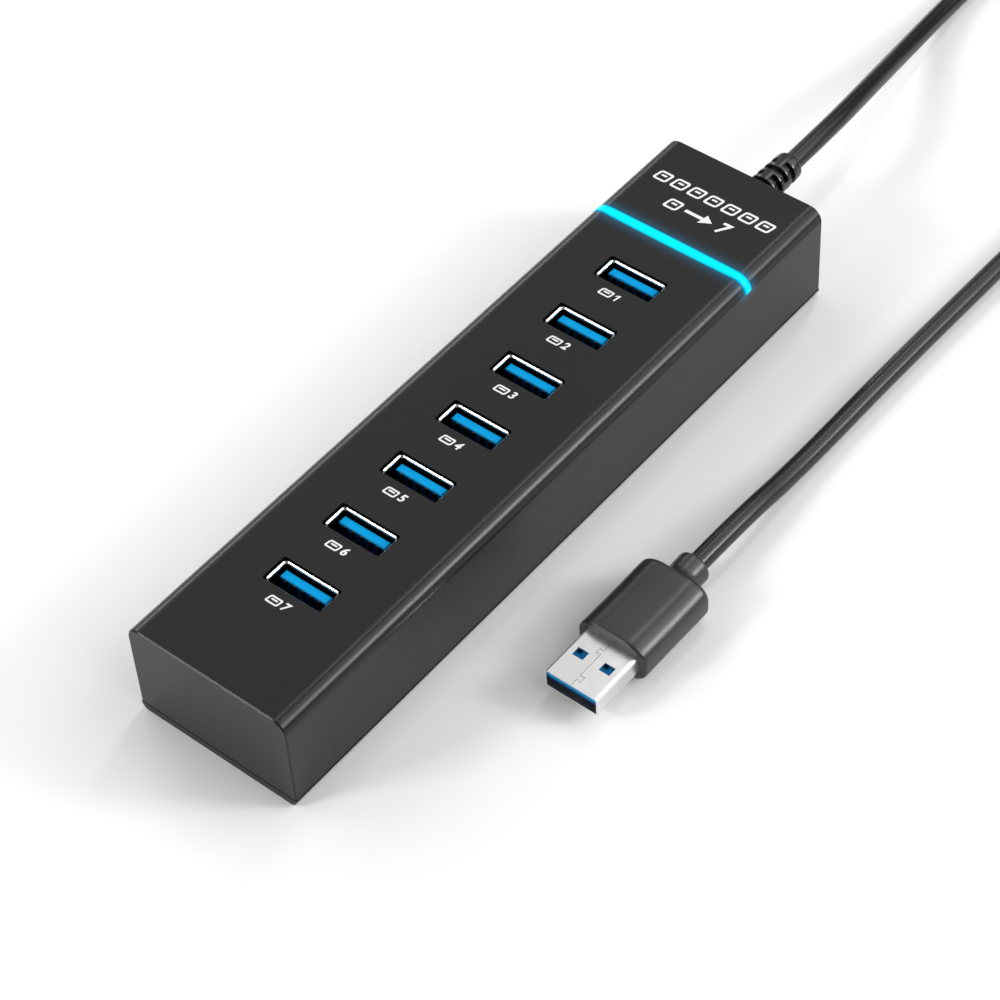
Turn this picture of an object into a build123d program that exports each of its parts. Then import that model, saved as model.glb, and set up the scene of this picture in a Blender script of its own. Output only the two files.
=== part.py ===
from build123d import *
import math
import os

# Bar-shaped hub with seven upright type-A sockets, a light bar and a captive cable. Millimetres.
# X runs across the body, Y along it towards the cable, Z up. The origin is the footprint's centre.

# Casing
body_width = 38.0
body_length = 161.5
body_height = 23.5
top_edge_radius = 3.0
bottom_edge_radius = 1.7
end_bevel = 0.3
wall = 1.8              # top and long sides
end_wall = 2.0
base_thickness = 2.0
base_groove = 0.3       # width and depth of the shadow line where the casing meets the base
fit_gap = 0.15          # between mouldings that slide together

# Row of sockets, number 1 nearest to the cable
port_count = 7
port_pitch = 16.2
port_row_y = -6.0
window_gap_x = 0.4      # round the socket's shell
window_gap_y = 0.24
window_corner = 0.5

# One type-A socket: steel shell, insulator with its tongue, nine contacts
socket_width = 12.5     # inside the shell
socket_depth = 5.12
socket_height = 15.0
socket_recess = 0.5     # mouth below the casing's top face
socket_wall = 0.35
socket_corner = 0.5
socket_lead_in = 0.25
socket_block_height = 4.0
socket_block_gap = 0.05
tongue_width = 11.1
tongue_thickness = 1.84
tongue_back_gap = 0.75
tongue_drop = 1.0       # tip below the socket's mouth
spring_slit = 0.3
spring_width = 2.0
spring_length = 5.5
spring_offset = 3.0
spring_top = 3.2        # below the mouth
leg_width = 1.2
leg_spacing = 2.6
leg_below_board = 1.0
contact_thickness = 0.2
slow_contacts = (-3.5, -1.0, 1.0, 3.5)
fast_contacts = (-4.0, -2.0, 0.0, 2.0, 4.0)
slow_width = 1.0
slow_setback = 3.0      # top of its flat run behind the tongue's tip
slow_tail_width = 0.6
spring_radius = 0.4
fast_width = 0.6
fast_setback = 2.4      # start of its pad behind the tongue's tip
fast_link = 0.4
fast_pad_length = 2.0
tongue_bevel = 0.2
slow_hole_radius = 0.45
fast_hole_radius = 0.4
leg_hole_spare = 0.15

# Light bar across the top
bar_y = 55.6
bar_width = 2.4
bar_thickness = 1.0
bar_wrap = 2.8          # reach of its ends below the top face
bar_gap = 0.05
guide_half_width = 11.0
guide_thickness = 1.4
guide_gap = 0.5         # between the light guide and the diodes

# Circuit board
board_side_gap = 0.7    # to the casing's side walls
board_end_gap = 11.75   # to its end walls
board_thickness = 1.2
board_corner = 1.0
led_height = 1.4
led_spacing = 8.0
chip_size = 7.0
chip_lead = 0.2
chip_lead_thickness = 0.1
chip_body = 0.9         # height of its moulding
chip_bevel = 0.1
chip_dimple_radius = 0.4
chip_dimple_depth = 0.1
capacitor_radius = 3.15
capacitor_height = 7.7
capacitor_inset = 5.2   # from the board's long edge
capacitor_round = 0.5
capacitor_groove = (1.4, 1.9)   # above the board
capacitor_groove_depth = 0.25
inductor_size = 6.0
inductor_height = 3.0
inductor_corner = 1.2
regulator_body = (6.5, 3.5, 1.6)
regulator_tab = (3.0, 1.6, 0.4)
regulator_overlap = 0.05
crystal_flange = (11.0, 4.6, 0.5)
crystal_can = (10.2, 3.8, 3.0)
crystal_round = 0.4
fuse_inset = 5.0
small_part_x = 7.0

# Fastening
boss_radius = 2.8
boss_inset_x = 3.2      # from the side wall's inside
boss_inset_y = 4.25
board_boss_radius = 2.4
board_boss_inset_x = 3.3
board_boss_inset_y = 7.0
pilot_radius = 0.9
screw_radius = 0.85
screw_hole_radius = 1.3
screw_head_radius = 2.0
screw_head_height = 0.8
screw_recess = 0.3
screw_length = 7.0
cross_length = 2.4      # of the driver's cross in a screw head
cross_width = 0.5
cross_depth = 0.35
support_radius = 2.0
support_inset_x = 4.5
support_y = 20.0
lip_height = 1.5
lip_thickness = 1.2

# Cable and its strain relief
cable_z = 14.0
cable_diameter = 4.2
grommet_base_diameter = 7.5
grommet_end_diameter = 6.3
grommet_length = 16.0
grommet_core_diameter = 4.8
grommet_slot = 1.0
grommet_slot_count = 5
grommet_slot_start = 2.6
grommet_slot_pitch = 2.4
grommet_web = 2.2
flange_diameter = 10.5
flange_thickness = 1.6
keeper_thickness = 1.5
keeper_half_width = 6.5
tail_length = 5.6
wire_diameter = 0.6
wire_pitch = 0.36
wire_rows = 0.9
wires_each_side = 4
wire_straight = 1.5
wire_rise = 2.5
wire_bend = 0.8
pad_pitch = 2.0
pad_inset = 3.5         # from the board's end

# Plug, lying beside the hub and pointing along -Y
plug_x = 44.4
plug_tip_y = -33.8
shell_width = 12.0
shell_height = 4.5
shell_wall = 0.3
shell_corner = 0.35
shell_showing = 12.1
shell_hidden = 4.0
plug_window_width = 2.4
plug_window_length = 2.0
plug_window_x = 3.05
plug_window_y = 6.8     # behind the tip
plug_pocket_depth = 0.8
seam_width = 0.08
seam_lugs = ((2.2, 1.0), (9.3, -1.0))     # distance behind the tip, reach to one side
seam_lug_length = 1.3
seam_lug_taper = 0.2
insulator_thickness = 2.0
insulator_recess = 0.3
insulator_shelf = 9.5   # from the tip back to the solid part
flat_contact = (4.4, 6.4, 0.15)     # middle behind the tip, length, thickness
raised_contact = (8.6, 1.4, 0.5)
grip_width = 15.6
grip_height = 9.5
grip_length = 20.0
grip_radius = 3.6
grip_front_round = 0.5
grip_back_round = 1.3
neck_diameter = 7.0
neck_length = 5.6
neck_round = 0.7

# Places that follow from the sizes above
top_inside = body_height - wall
socket_mouth = body_height - socket_recess
board_top = socket_mouth - socket_height
board_bottom = board_top - board_thickness
tongue_tip = socket_mouth - tongue_drop
tongue_front = socket_depth / 2 - tongue_back_gap - tongue_thickness
tongue_middle = tongue_front + tongue_thickness / 2
window_width = socket_width + 2 * (socket_wall + window_gap_x)
window_depth = socket_depth + 2 * (socket_wall + window_gap_y)
wall_inside_x = body_width / 2 - wall
wall_inside_y = body_length / 2 - end_wall
board_half_x = wall_inside_x - board_side_gap
board_half_y = wall_inside_y - board_end_gap
boss_x = wall_inside_x - boss_inset_x
boss_y = wall_inside_y - boss_inset_y
board_boss_x = board_half_x - board_boss_inset_x
board_boss_y = board_half_y - board_boss_inset_y
support_x = board_half_x - support_inset_x
capacitor_x = board_half_x - capacitor_inset
fuse_x = board_half_x - fuse_inset
pad_y = board_half_y - pad_inset
tail_start_y = wall_inside_y - flange_thickness
tail_end_y = tail_start_y - tail_length
grommet_end_y = body_length / 2 + grommet_length
plug_z = grip_height / 2
grip_front_y = plug_tip_y + shell_showing
grip_back_y = grip_front_y + grip_length
cord_end_y = grip_back_y + neck_length
cord_rest_z = cable_diameter / 2 + 0.05
port_ys = [port_row_y + port_pitch * ((port_count - 1) / 2 - i) for i in range(port_count)]
gap_ys = [y - port_pitch / 2 for y in port_ys[:-1]]


def block(x, y, z):
    """Box between the limits given as pairs."""
    size = [pair[1] - pair[0] for pair in (x, y, z)]
    middle = [(pair[1] + pair[0]) / 2 for pair in (x, y, z)]
    return Pos(*middle) * Box(*size)


def centred(x, y, width, depth, z_low, height):
    """Box on a centre line, standing on z_low."""
    return Pos(x, y, z_low + height / 2) * Box(width, depth, height)


def post(x, y, z_low, z_high, radius):
    return Pos(x, y, (z_low + z_high) / 2) * Cylinder(radius, z_high - z_low)


def rod_y(x, z, y_low, y_high, radius, end_radius=None):
    """Round bar along Y, tapered when end_radius is given."""
    length = y_high - y_low
    bar = Cone(radius, end_radius, length) if end_radius else Cylinder(radius, length)
    return Pos(x, (y_low + y_high) / 2, z) * Rot(-90, 0, 0) * bar


def mirrored(x, y):
    """The four places that share one distance from each middle plane."""
    return [(sx * x, sy * y) for sx in (-1, 1) for sy in (-1, 1)]


def group(solids):
    return Compound(children=list(solids))


def save(name, shape):
    export_step(shape, f"parts/{name}.step")


def tube_along(points, radii, radius):
    path = FilletPolyline(*points, radius=radii)
    section = Plane(path @ 0, z_dir=path % 0) * Circle(radius)
    return sweep(section, path=path), path


def casing_block(inset, y_low, y_high, z_low):
    """Body profile drawn in by inset, with its two long top edges rounded."""
    half = body_width / 2 - inset
    body = block((-half, half), (y_low, y_high), (z_low, body_height - inset))
    long_top_edges = body.edges().filter_by(Axis.Y).group_by(Axis.Z)[-1]
    return fillet(long_top_edges, top_edge_radius - inset)


def light_band(spare):
    """Strip that follows the top profile, grown by spare on every side but the outside."""
    reach = bar_width / 2 + spare
    y_limits = (bar_y - reach, bar_y + reach)
    skin = casing_block(0, *y_limits, 0) - casing_block(bar_thickness + spare, *y_limits, 0)
    low_end = body_height - bar_wrap - spare
    return skin - block((-body_width, body_width), y_limits, (0, low_end))


def light_guide(spare):
    half = guide_half_width + spare
    reach = guide_thickness / 2 + spare
    foot = board_top + led_height + guide_gap
    head = body_height - bar_thickness - spare
    return block((-half, half), (bar_y - reach, bar_y + reach), (foot, head))


def upper_shell():
    end = body_length / 2
    outer = casing_block(0, -end, end, base_thickness)
    ends = outer.faces().sort_by(Axis.Y)
    rims = ends[0].edges() + ends[-1].edges()
    rims = rims.filter_by(lambda edge: edge.center().Z > base_thickness + end_bevel)
    outer = chamfer(rims, end_bevel)
    shell = outer - casing_block(wall, -wall_inside_y, wall_inside_y, base_thickness)
    for x, y in mirrored(boss_x, boss_y):
        shell += post(x, y, base_thickness, top_inside, boss_radius)
    for x, y in mirrored(board_boss_x, board_boss_y):
        shell += post(x, y, board_top, top_inside, board_boss_radius)
    keeper_y = tail_start_y - fit_gap
    keeper = (keeper_y - keeper_thickness, keeper_y)
    shell += block((-keeper_half_width, keeper_half_width), keeper, (cable_z, top_inside))
    shell -= rod_y(0, cable_z, keeper[0] - 1, keeper[1] + 1, cable_diameter / 2 + fit_gap)
    shell -= rod_y(0, cable_z, wall_inside_y - 1, end + 1, grommet_base_diameter / 2 + bar_gap)
    for x, y in mirrored(boss_x, boss_y):
        shell -= post(x, y, base_thickness - 1, base_thickness + screw_length, pilot_radius)
    for x, y in mirrored(board_boss_x, board_boss_y):
        shell -= post(x, y, board_top - 1, board_top + screw_length, pilot_radius)
    window = extrude(RectangleRounded(window_width, window_depth, window_corner), wall + 2)
    for y in port_ys:
        shell -= Pos(0, y, top_inside - 1) * window
    return shell - light_band(bar_gap) - light_guide(bar_gap)


def base_cover():
    end = body_length / 2
    half = body_width / 2
    plate = block((-half, half), (-end, end), (0, base_thickness))
    plate = fillet(plate.edges().filter_by(Axis.Y).group_by(Axis.Z)[0], bottom_edge_radius)
    groove_z = (base_thickness - base_groove, base_thickness)
    groove = block((-half, half), (-end, end), groove_z)
    plate -= groove - block((-half + base_groove, half - base_groove),
                            (-end + base_groove, end - base_groove), groove_z)
    lip_half = wall_inside_x - fit_gap
    lip_end = wall_inside_y - fit_gap
    lip_z = (base_thickness, base_thickness + lip_height)
    lip = block((-lip_half, lip_half), (-lip_end, lip_end), lip_z)
    hollow = lip_half - lip_thickness
    hollow_end = lip_end - lip_thickness
    lip -= block((-hollow, hollow), (-hollow_end, hollow_end), lip_z)
    for x, y in mirrored(boss_x, boss_y):
        lip -= post(x, y, 0, body_height, boss_radius + fit_gap)
    cover = plate + lip
    for x, y in mirrored(support_x, support_y):
        cover += post(x, y, base_thickness, board_bottom, support_radius)
    for x, y in mirrored(boss_x, boss_y):
        cover -= post(x, y, -1, base_thickness + 1, screw_hole_radius)
        cover -= post(x, y, -1, screw_recess + screw_head_height, screw_head_radius + fit_gap)
    return cover


def screws(places, seat_z, length):
    """Self-tapping screws driven upwards, heads below seat_z."""
    made = []
    for x, y in places:
        head = post(x, y, seat_z - screw_head_height, seat_z, screw_head_radius)
        head_z = seat_z - screw_head_height
        slot = centred(x, y, cross_length, cross_width, head_z, cross_depth)
        cross = centred(x, y, cross_width, cross_length, head_z, cross_depth)
        shank = post(x, y, seat_z, seat_z + length, screw_radius)
        made.append(head + shank - slot - cross)
    return group(made)


def light_bar():
    return light_band(0) + light_guide(0)


def shell_legs(spare=0.0):
    """Two solder legs on each narrow side of a socket."""
    x_middle = (socket_width + socket_wall) / 2
    legs = []
    for x, y in mirrored(x_middle, leg_spacing / 2):
        foot = board_bottom - leg_below_board
        width = socket_wall + 2 * spare
        legs.append(centred(x, y, width, leg_width + 2 * spare, foot, board_top - foot))
    return legs


def port_shell():
    outer = RectangleRounded(socket_width + 2 * socket_wall, socket_depth + 2 * socket_wall,
                             socket_corner + socket_wall)
    inner = RectangleRounded(socket_width, socket_depth, socket_corner)
    shell = Pos(0, 0, board_top) * extrude(outer - inner, socket_height)
    rims = shell.faces().sort_by(Axis.Z)[-1].inner_wires()[0].edges()
    shell = chamfer(rims, socket_lead_in)
    for leg in shell_legs():
        shell += leg
    spring_z = socket_mouth - spring_top - spring_length
    for x in (-spring_offset, spring_offset):
        for side in (-1, 1):
            y = side * (socket_depth + socket_wall) / 2
            frame = centred(x, y, spring_width + 2 * spring_slit, 1, spring_z, spring_length)
            leaf = centred(x, y, spring_width, 1, spring_z, spring_length - spring_slit)
            shell -= frame - leaf
    return shell


def slow_contact(x):
    """Spring contact on the tongue's front, with its tail through the board."""
    foot = board_bottom - leg_below_board
    head = tongue_tip - slow_setback
    front = tongue_front - contact_thickness / 2
    strip = centred(x, front, slow_width, contact_thickness, board_top, head - board_top)
    tail = centred(x, front, slow_tail_width, contact_thickness, foot, board_top - foot)
    bump = Rot(0, 90, 0) * Cylinder(spring_radius, slow_width)
    bump = Pos(x, tongue_front - spring_radius, head - 1) * bump
    return strip + tail + bump


def fast_contact(x):
    """Flat contact near the tip, its leg inside the tongue."""
    foot = board_bottom - leg_below_board
    pad_z = tongue_tip - fast_setback
    link_z = pad_z + fast_link
    leg = centred(x, tongue_middle, fast_width, contact_thickness, foot, link_z - foot)
    link = block((x - fast_width / 2, x + fast_width / 2), (tongue_front, tongue_middle),
                 (pad_z, link_z))
    pad = centred(x, tongue_front - contact_thickness / 2, fast_width, contact_thickness,
                  pad_z, fast_pad_length)
    return leg + link + pad


def port_contacts():
    return [slow_contact(x) for x in slow_contacts] + [fast_contact(x) for x in fast_contacts]


def port_tongue(contacts):
    base = centred(0, 0, socket_width - 2 * socket_block_gap, socket_depth - 2 * socket_block_gap,
                   board_top, socket_block_height)
    base = fillet(base.edges().filter_by(Axis.Z), socket_corner)
    low = board_top + socket_block_height
    tongue = centred(0, tongue_middle, tongue_width, tongue_thickness, low, tongue_tip - low)
    tip = tongue.faces().sort_by(Axis.Z)[-1].edges()
    body = base + chamfer(tip, tongue_bevel)
    for contact in contacts:
        body -= contact
    return body


def tail_holes(x, y):
    """Drilled holes of one socket: nine tails and four shell legs."""
    through = (board_bottom - 1, board_top + 1)
    front_row = y + tongue_front - contact_thickness / 2
    back_row = y + tongue_middle
    holes = [post(x + tail, front_row, *through, slow_hole_radius) for tail in slow_contacts]
    holes += [post(x + tail, back_row, *through, fast_hole_radius) for tail in fast_contacts]
    return holes + [Pos(x, y, 0) * leg for leg in shell_legs(spare=leg_hole_spare)]


def circuit_board():
    board = centred(0, 0, 2 * board_half_x, 2 * board_half_y, board_bottom, board_thickness)
    board = fillet(board.edges().filter_by(Axis.Z), board_corner)
    for y in port_ys:
        for hole in tail_holes(0, y):
            board -= hole
    for x, y in mirrored(board_boss_x, board_boss_y):
        board -= post(x, y, board_bottom - 1, board_top + 1, screw_hole_radius)
    return board


def chips(places, width, depth, height):
    return [centred(x, y, width, depth, board_top, height) for x, y in places]


def hub_chip(y):
    """Controller with a moulded body on a thin lead frame, a dimple at its first pin."""
    lead_top = board_top + chip_lead_thickness
    top = lead_top + chip_body
    body = centred(0, y, chip_size, chip_size, lead_top, chip_body)
    body = chamfer(body.faces().sort_by(Axis.Z)[-1].edges(), chip_bevel)
    dimple = chip_size / 2 - 1
    body -= post(-dimple, y + dimple, top - chip_dimple_depth, top + 1, chip_dimple_radius)
    long, short = chip_size + 2 * chip_lead, chip_size - 1
    for width, depth in ((long, short), (short, long)):
        body += centred(0, y, width, depth, board_top, chip_lead_thickness)
    return body


def bulk_capacitor(x, y):
    can = post(x, y, board_top, board_top + capacitor_height, capacitor_radius)
    can = fillet(can.edges().sort_by(Axis.Z)[-1], capacitor_round)
    groove = [board_top + height for height in capacitor_groove]
    ring = post(x, y, *groove, capacitor_radius + 1)
    ring -= post(x, y, *groove, capacitor_radius - capacitor_groove_depth)
    return can - ring


def power_inductor(y):
    coil = centred(0, y, inductor_size, inductor_size, board_top, inductor_height)
    return fillet(coil.edges().filter_by(Axis.Z), inductor_corner)


def voltage_regulator(y):
    width, depth, height = regulator_body
    tab_width, tab_depth, tab_height = regulator_tab
    body = centred(0, y, width, depth, board_top, height)
    tab_y = y + (depth + tab_depth) / 2 - regulator_overlap
    return body + centred(0, tab_y, tab_width, tab_depth, board_top, tab_height)


def crystal(x, y):
    length, width, thickness = crystal_flange
    flange = extrude(Pos(x, y, board_top) * SlotOverall(length, width), thickness)
    can_length, can_width, height = crystal_can
    can = extrude(Pos(x, y, board_top + thickness) * SlotOverall(can_length, can_width), height)
    return flange + fillet(can.edges().group_by(Axis.Z)[-1], crystal_round)


def cable_grommet():
    """Ribbed strain relief moulded on the cable, with a flange behind the end wall."""
    end = body_length / 2
    base = grommet_base_diameter / 2
    body = rod_y(0, cable_z, end, grommet_end_y, base, grommet_end_diameter / 2)
    for i in range(grommet_slot_count):
        low = end + grommet_slot_start + i * grommet_slot_pitch
        ring = rod_y(0, cable_z, low, low + grommet_slot, base + 1)
        ring -= rod_y(0, cable_z, low, low + grommet_slot, grommet_core_diameter / 2)
        across = (base + 2, grommet_web / 2) if i % 2 else (grommet_web / 2, base + 2)
        web = block((-across[0], across[0]), (low, low + grommet_slot),
                    (cable_z - across[1], cable_z + across[1]))
        body -= ring - web
    body += rod_y(0, cable_z, wall_inside_y, end, base)
    return body + rod_y(0, cable_z, tail_start_y, wall_inside_y, flange_diameter / 2)


def cable_wires():
    """Nine wires in two rows, fanned out from the cable's end to the board's edge."""
    wires = []
    for k in range(-wires_each_side, wires_each_side + 1):
        row = wire_rows / 2 if k % 2 == 0 else -wire_rows / 2
        start_x, end_x = k * wire_pitch, k * pad_pitch
        z = cable_z + row
        points = [(start_x, tail_end_y, z), (start_x, tail_end_y - wire_straight, z),
                  (end_x, pad_y, board_top + wire_rise), (end_x, pad_y, board_top)]
        wires.append(tube_along(points, [wire_bend, wire_bend], wire_diameter / 2)[0])
    return wires


# Route of the cable's centre line: out of the strain relief, round, and back to the plug's neck
corner_share = 0.45
cord_route = [
    (0, grommet_end_y, cable_z),
    (0, grommet_end_y + 15.25, cable_z),
    (-2.9, grommet_end_y + 33.75, cable_z - 3.6),
    (-6.6, grommet_end_y + 53.25, cord_rest_z + 3.25),
    (-9.2, grommet_end_y + 73.25, cord_rest_z + 0.15),
    (-9.4, grommet_end_y + 89.5, cord_rest_z),
    (0.8, grommet_end_y + 103.9, cord_rest_z),
    (17.6, grommet_end_y + 109.5, cord_rest_z),
    (35.0, grommet_end_y + 103.7, cord_rest_z),
    (45.5, grommet_end_y + 88.9, cord_rest_z),
    (plug_x + 1.5, cord_end_y + 152.1, cord_rest_z),
    (plug_x + 0.7, cord_end_y + 108.1, cord_rest_z),
    (plug_x - 0.3, cord_end_y + 66.1, cord_rest_z),
    (plug_x - 0.2, cord_end_y + 33.1, cord_rest_z),
    (plug_x, cord_end_y + 14.1, plug_z),
    (plug_x, cord_end_y, plug_z),
]


def corner_radius(before, here, after):
    """Arc that takes up corner_share of the shorter run on each side of a corner."""
    first = Vector(*here) - Vector(*before)
    second = Vector(*after) - Vector(*here)
    turn = math.radians(first.get_angle(second))
    return corner_share * min(first.length, second.length) / math.tan(turn / 2)


def cord():
    corners = zip(cord_route, cord_route[1:], cord_route[2:])
    radii = [corner_radius(*corner) for corner in corners]
    tube, path = tube_along(cord_route, radii, cable_diameter / 2)
    plain = math.pi * cable_diameter ** 2 / 4 * path.length
    print("cord radii, mm:", [round(radius, 1) for radius in radii])
    print(f"cord length {path.length:.1f} mm, volume {tube.volume:.1f}, section x length {plain:.1f}")
    return tube


def plug_block(x_half, y, z):
    """Box about the plug's axis, y from the tip, z from the axis."""
    return block((plug_x - x_half, plug_x + x_half), (plug_tip_y + y[0], plug_tip_y + y[1]),
                 (plug_z + z[0], plug_z + z[1]))


def plug_profile(width, height, radius):
    return Plane.XZ * RectangleRounded(width, height, radius)


def seam_outline():
    """Joint of the rolled shell along the middle of its top, with two interlocking lugs."""
    points = [(0, -1)]
    for y, reach in seam_lugs:
        half = seam_lug_length / 2
        points += [(0, y - half + seam_lug_taper), (reach, y - half),
                   (reach, y + half), (0, y + half - seam_lug_taper)]
    return points + [(0, shell_showing + shell_hidden + 1)]


def seam_slit(start, end):
    run = Vector(*end) - Vector(*start)
    cut = Box(seam_width, run.length + seam_width, 2 * shell_wall)
    angle = -math.degrees(math.atan2(run.X, run.Y))
    middle = (Vector(*start) + Vector(*end)) / 2
    top = plug_z + shell_height / 2
    return Pos(plug_x + middle.X, plug_tip_y + middle.Y, top) * Rot(0, 0, angle) * cut


def plug_shell():
    length = shell_showing + shell_hidden
    ring = plug_profile(shell_width, shell_height, shell_corner + shell_wall)
    ring -= plug_profile(shell_width - 2 * shell_wall, shell_height - 2 * shell_wall, shell_corner)
    shell = Pos(plug_x, plug_tip_y, plug_z) * extrude(ring, -length)
    for side in (-1, 1):
        x = plug_x + side * plug_window_x
        shell -= centred(x, plug_tip_y + plug_window_y, plug_window_width, plug_window_length,
                         plug_z - shell_height, 2 * shell_height)
    outline = seam_outline()
    for start, end in zip(outline, outline[1:]):
        shell -= seam_slit(start, end)
    return shell


def plug_insulator():
    inside = shell_width / 2 - shell_wall
    ceiling = shell_height / 2 - shell_wall
    back = shell_showing + shell_hidden
    shelf_z = (ceiling - insulator_thickness, ceiling)
    front = plug_block(inside, (insulator_recess, insulator_shelf), shelf_z)
    rear = plug_block(inside, (insulator_shelf, back), (-ceiling, ceiling))
    body = front + rear
    corners = body.edges().filter_by(Axis.Y).group_by(Axis.Z)
    body = fillet(corners[-1] + corners[0], shell_corner)
    for side in (-1, 1):
        x = plug_x + side * plug_window_x - plug_window_width / 4
        body -= centred(x, plug_tip_y + plug_window_y + plug_window_length / 4,
                        plug_window_width / 2, plug_window_length / 2,
                        plug_z + ceiling - plug_pocket_depth, plug_pocket_depth)
    return body


def plug_contacts():
    face = plug_z + shell_height / 2 - shell_wall - insulator_thickness
    strips = []
    for places, width, shape in ((slow_contacts, slow_width, flat_contact),
                                 (fast_contacts, fast_width, raised_contact)):
        middle, length, thickness = shape
        strips += [centred(plug_x + x, plug_tip_y + middle, width, length,
                           face - thickness, thickness) for x in places]
    return strips


def plug_overmold():
    ring = plug_profile(grip_width, grip_height, grip_radius)
    grip = Pos(plug_x, grip_front_y, plug_z) * extrude(ring, -grip_length)
    grip = fillet(grip.faces().sort_by(Axis.Y)[-1].edges(), grip_back_round)
    grip = fillet(grip.faces().sort_by(Axis.Y)[0].edges(), grip_front_round)
    neck = rod_y(plug_x, plug_z, grip_back_y, cord_end_y, neck_diameter / 2)
    neck = fillet(neck.edges().sort_by(Axis.Y)[-1], neck_round)
    pocket = plug_profile(shell_width, shell_height, shell_corner + shell_wall)
    return grip + neck - Pos(plug_x, grip_front_y, plug_z) * extrude(pocket, -shell_hidden)


os.makedirs("parts", exist_ok=True)

save("upper_shell", upper_shell())
save("base_cover", base_cover())
save("light_bar", light_bar())
save("circuit_board", circuit_board())

one_shell = port_shell()
one_contact_set = port_contacts()
one_tongue = port_tongue(one_contact_set)
for number, y in enumerate(port_ys, start=1):
    save(f"port_{number}_shell", Pos(0, y, 0) * one_shell)
    save(f"port_{number}_tongue", Pos(0, y, 0) * one_tongue)
    save(f"port_{number}_contacts", group(Pos(0, y, 0) * c for c in one_contact_set))

save("hub_chip_a", hub_chip(gap_ys[0]))
save("hub_chip_b", hub_chip(gap_ys[3]))
save("crystals", group(crystal(0, gap_ys[i]) for i in (1, 4)))
save("power_inductor", power_inductor(gap_ys[2]))
save("voltage_regulator", voltage_regulator(gap_ys[5]))
cans = [(capacitor_x, gap_ys[i]) for i in (0, 2, 3)] + [(-capacitor_x, gap_ys[5])]
save("bulk_capacitors", group(bulk_capacitor(x, y) for x, y in cans))
save("port_fuses", group(chips([(-fuse_x, y) for y in port_ys], 3.2, 4.5, 1.0)))
by_ports = [(fuse_x, y + dy) for y in port_ys for dy in (-1, 1)]
save("chip_capacitors", group(chips(by_ports, 1.6, 0.8, 0.8)))
by_crystals = [(side * small_part_x, gap_ys[i] + dy)
               for i in (1, 4) for side in (-1, 1) for dy in (-2.4, 0, 2.4)]
save("chip_resistors", group(chips(by_crystals, 0.8, 1.6, 0.5)))
under_bar = [(x, bar_y) for x in (-led_spacing, 0, led_spacing)]
save("bar_leds", group(chips(under_bar, 2.8, 3.5, led_height)))

save("base_screws", screws(mirrored(boss_x, boss_y), screw_recess + screw_head_height, 6.5))
save("board_screws", screws(mirrored(board_boss_x, board_boss_y), board_bottom, 6.5))

save("cable_grommet", cable_grommet())
save("cable_tail", rod_y(0, cable_z, tail_end_y, tail_start_y, cable_diameter / 2))
save("cable_wires", group(cable_wires()))
save("cord", cord())
save("plug_shell", plug_shell())
save("plug_insulator", plug_insulator())
save("plug_contacts", group(plug_contacts()))
save("plug_overmold", plug_overmold())
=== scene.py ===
import math
import bpy
import bmesh
import numpy as np
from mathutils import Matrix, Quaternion, Vector


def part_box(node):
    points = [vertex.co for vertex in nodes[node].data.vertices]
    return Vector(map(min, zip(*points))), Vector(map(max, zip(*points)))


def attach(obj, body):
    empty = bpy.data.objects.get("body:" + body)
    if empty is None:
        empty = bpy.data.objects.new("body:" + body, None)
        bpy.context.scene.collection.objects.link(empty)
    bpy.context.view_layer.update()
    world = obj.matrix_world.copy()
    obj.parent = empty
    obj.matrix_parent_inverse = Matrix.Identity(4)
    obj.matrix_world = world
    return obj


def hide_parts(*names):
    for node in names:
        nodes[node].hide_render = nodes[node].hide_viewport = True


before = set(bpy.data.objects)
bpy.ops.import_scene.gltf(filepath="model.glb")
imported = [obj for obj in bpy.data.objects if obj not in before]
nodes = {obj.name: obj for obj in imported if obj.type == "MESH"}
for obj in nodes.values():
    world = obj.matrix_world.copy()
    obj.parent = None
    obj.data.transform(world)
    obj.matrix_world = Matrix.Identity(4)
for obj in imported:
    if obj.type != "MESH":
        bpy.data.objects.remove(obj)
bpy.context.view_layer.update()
mm = 0.001
print("frame: loaded", len(nodes), "nodes")


# A node's lowest corner, highest corner and middle, in mm
def cornersOf(name):
    low, high = (np.round(np.array(corner) / mm, 3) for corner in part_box(name))
    return low, high, np.round((low + high) / 2, 3)


casingHigh = cornersOf("upper_shell")[1]
barLow, barHigh, barMiddle = cornersOf("light_bar")
reliefLow, reliefHigh, reliefMiddle = cornersOf("cable_grommet")
gripLow, gripHigh, gripMiddle = cornersOf("plug_overmold")
shellLow, shellHigh = cornersOf("port_1_shell")[:2]
tongueHigh = cornersOf("port_1_tongue")[1]
insulatorLow, insulatorHigh = cornersOf("plug_insulator")[:2]
portYs = [cornersOf("port_%d_shell" % number)[2][1] for number in range(1, 8)]

# Camera: where it stands, which way it looks and how it is rolled
viewpoint = {
    "place": (0.26020, -0.28959, 0.43385),
    "azimuth": 41.94,       # degrees, 0 looks along +Y
    "elevation": 48.30,
    "roll": -3.965,
    "lens": 107.95,
}


def placeCamera(values):
    azimuth, elevation = math.radians(values["azimuth"]), math.radians(values["elevation"])
    forward = Vector((-math.sin(azimuth) * math.cos(elevation),
                      math.cos(azimuth) * math.cos(elevation), -math.sin(elevation)))
    data = bpy.data.cameras.new("camera")
    data.lens, data.sensor_width = values["lens"], 36
    data.clip_start, data.clip_end = 0.01, 20
    camera = bpy.data.objects.new("camera", data)
    bpy.context.scene.collection.objects.link(camera)
    camera.location = values["place"]
    camera.rotation_mode = "QUATERNION"
    roll = Quaternion((0, 0, 1), math.radians(values["roll"]))
    camera.rotation_quaternion = forward.to_track_quat("-Z", "Y") @ roll
    bpy.context.scene.camera = camera


placeCamera(viewpoint)
print("camera: placed")


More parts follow.
